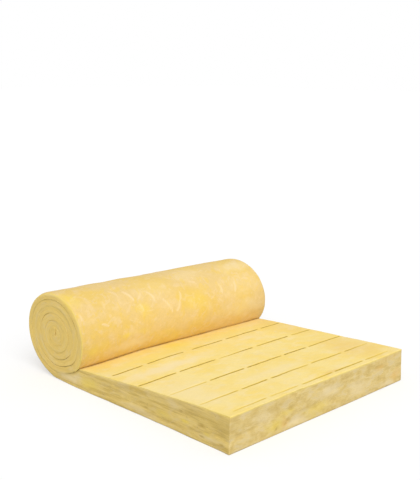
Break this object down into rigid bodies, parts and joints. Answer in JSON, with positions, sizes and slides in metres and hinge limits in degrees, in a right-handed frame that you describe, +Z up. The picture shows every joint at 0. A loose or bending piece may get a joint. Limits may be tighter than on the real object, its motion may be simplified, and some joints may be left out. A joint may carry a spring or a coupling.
{
  "type": "insulation roll",
  "caption": "Glass wool insulation mat, part unrolled: a tight roll at the back and a flat stretch in front, sprung back thick, with broken cutting lines across its top.",
  "frame": {"origin": "on the floor, at the middle of the whole outline", "axes": "+X across the mat along the roll's axis, +Y from the cut front edge back to the roll, +Z up"},
  "size_m": [1.2, 1.3832, 0.427],
  "materials": {
    "glass_wool": "matt, fibrous, pale yellow"
  },
  "bodies": {
    "root": {"glass_wool_mat": "glass_wool"}
  },
  "joints": []
}
